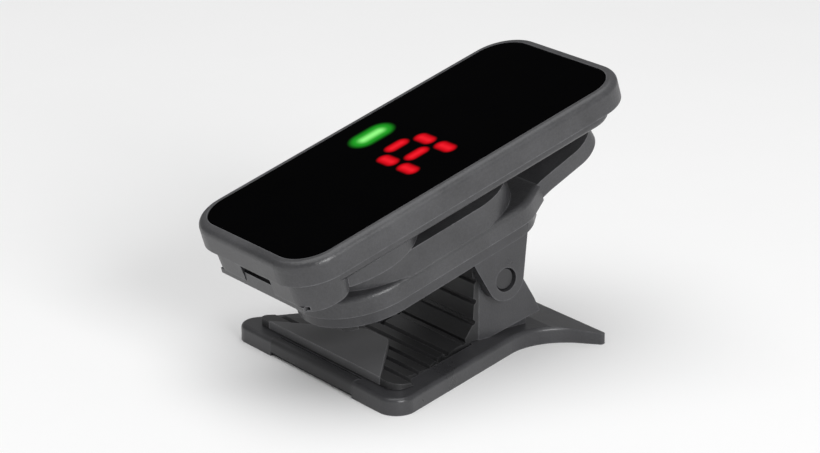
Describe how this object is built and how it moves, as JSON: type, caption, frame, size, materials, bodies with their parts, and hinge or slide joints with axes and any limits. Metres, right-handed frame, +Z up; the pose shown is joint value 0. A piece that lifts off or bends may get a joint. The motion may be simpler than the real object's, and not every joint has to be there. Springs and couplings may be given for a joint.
{
  "type": "clip-on tuner",
  "caption": "Clip-on instrument tuner: slab head with dark display window on the upper arm of a sprung clip with an open hourglass lower plate and a ribbed rubber throat.",
  "frame": {"origin": "centre of the footprint on the table the tuner stands on", "axes": "+X along the head towards the finger end of the clip, +Y to the button side, +Z up from the table"},
  "size_m": [0.0552, 0.0368, 0.0373],
  "materials": {
    "body_plastic": "fine textured black",
    "arm_plastic": "fine textured black",
    "tongue_plastic": "smooth satin black",
    "lens_black": "polished black",
    "guide_plastic": "black moulded",
    "lamp_green": "lit green",
    "lamp_off": "unlit diffuser",
    "segment_red": "lit red",
    "board": "solder mask",
    "led_package": "resin",
    "chip_black": "moulded package",
    "switch_metal": "plated",
    "brass": "bare",
    "cell_steel": "bright",
    "contact_metal": "plated spring strip",
    "screw_steel": "zinc plated",
    "button_plastic": "satin black",
    "pad_rubber": "matt black",
    "strip_rubber": "matt black",
    "pin_steel": "blackened",
    "spring_steel": "drawn wire"
  },
  "bodies": {
    "lower_clip": {"lower_arm": "arm_plastic", "lower_pad": "pad_rubber", "tongue_plate": "tongue_plastic", "front_strip": "strip_rubber", "hinge_pin": "pin_steel", "torsion_spring": "spring_steel"},
    "upper_clip": {"front_bezel": "body_plastic", "rear_case": "body_plastic", "upper_arm": "body_plastic", "arm_base": "arm_plastic", "lens": "lens_black", "light_guide": "guide_plastic", "green_lamp_window": "lamp_green", "flat_sharp_windows": "lamp_off", "lit_segments": "segment_red", "dark_segment": "lamp_off", "circuit_board": "board", "led_chips": "led_package", "tuner_chip": "chip_black", "push_switches": "switch_metal", "piezo_sensor": "brass", "coin_cell": "cell_steel", "cell_contact_minus": "contact_metal", "cell_contact_plus": "contact_metal", "case_screws": "screw_steel", "arm_screws": "screw_steel", "upper_pad": "pad_rubber"},
    "battery_cover": {"battery_cover": "body_plastic"},
    "power_button": {"power_button": "button_plastic"},
    "calibration_button": {"calibration_button": "button_plastic"}
  },
  "joints": [
    {"name": "jaw_hinge", "type": "hinge", "parent": "lower_clip", "child": "upper_clip", "pos_m": [0.00899, 0, 0.01076], "axis": [0, 1, 0], "range_deg": [0, 24], "stiffness_Nm_per_rad": 0.25, "springref_deg": -34.38, "deforming": ["torsion_spring"]},
    {"name": "battery_cover_slide", "type": "slide", "parent": "upper_clip", "child": "battery_cover", "axis": [-0.9548, 0, -0.2974], "range_m": [0, 0.024]},
    {"name": "power_button_push", "type": "slide", "parent": "upper_clip", "child": "power_button", "axis": [0, -1, 0], "range_m": [0, 0.0004], "stiffness_N_per_m": 800, "springref_m": -0.0004},
    {"name": "calibration_button_push", "type": "slide", "parent": "upper_clip", "child": "calibration_button", "axis": [0, -1, 0], "range_m": [0, 0.0004], "stiffness_N_per_m": 800, "springref_m": -0.0004}
  ]
}
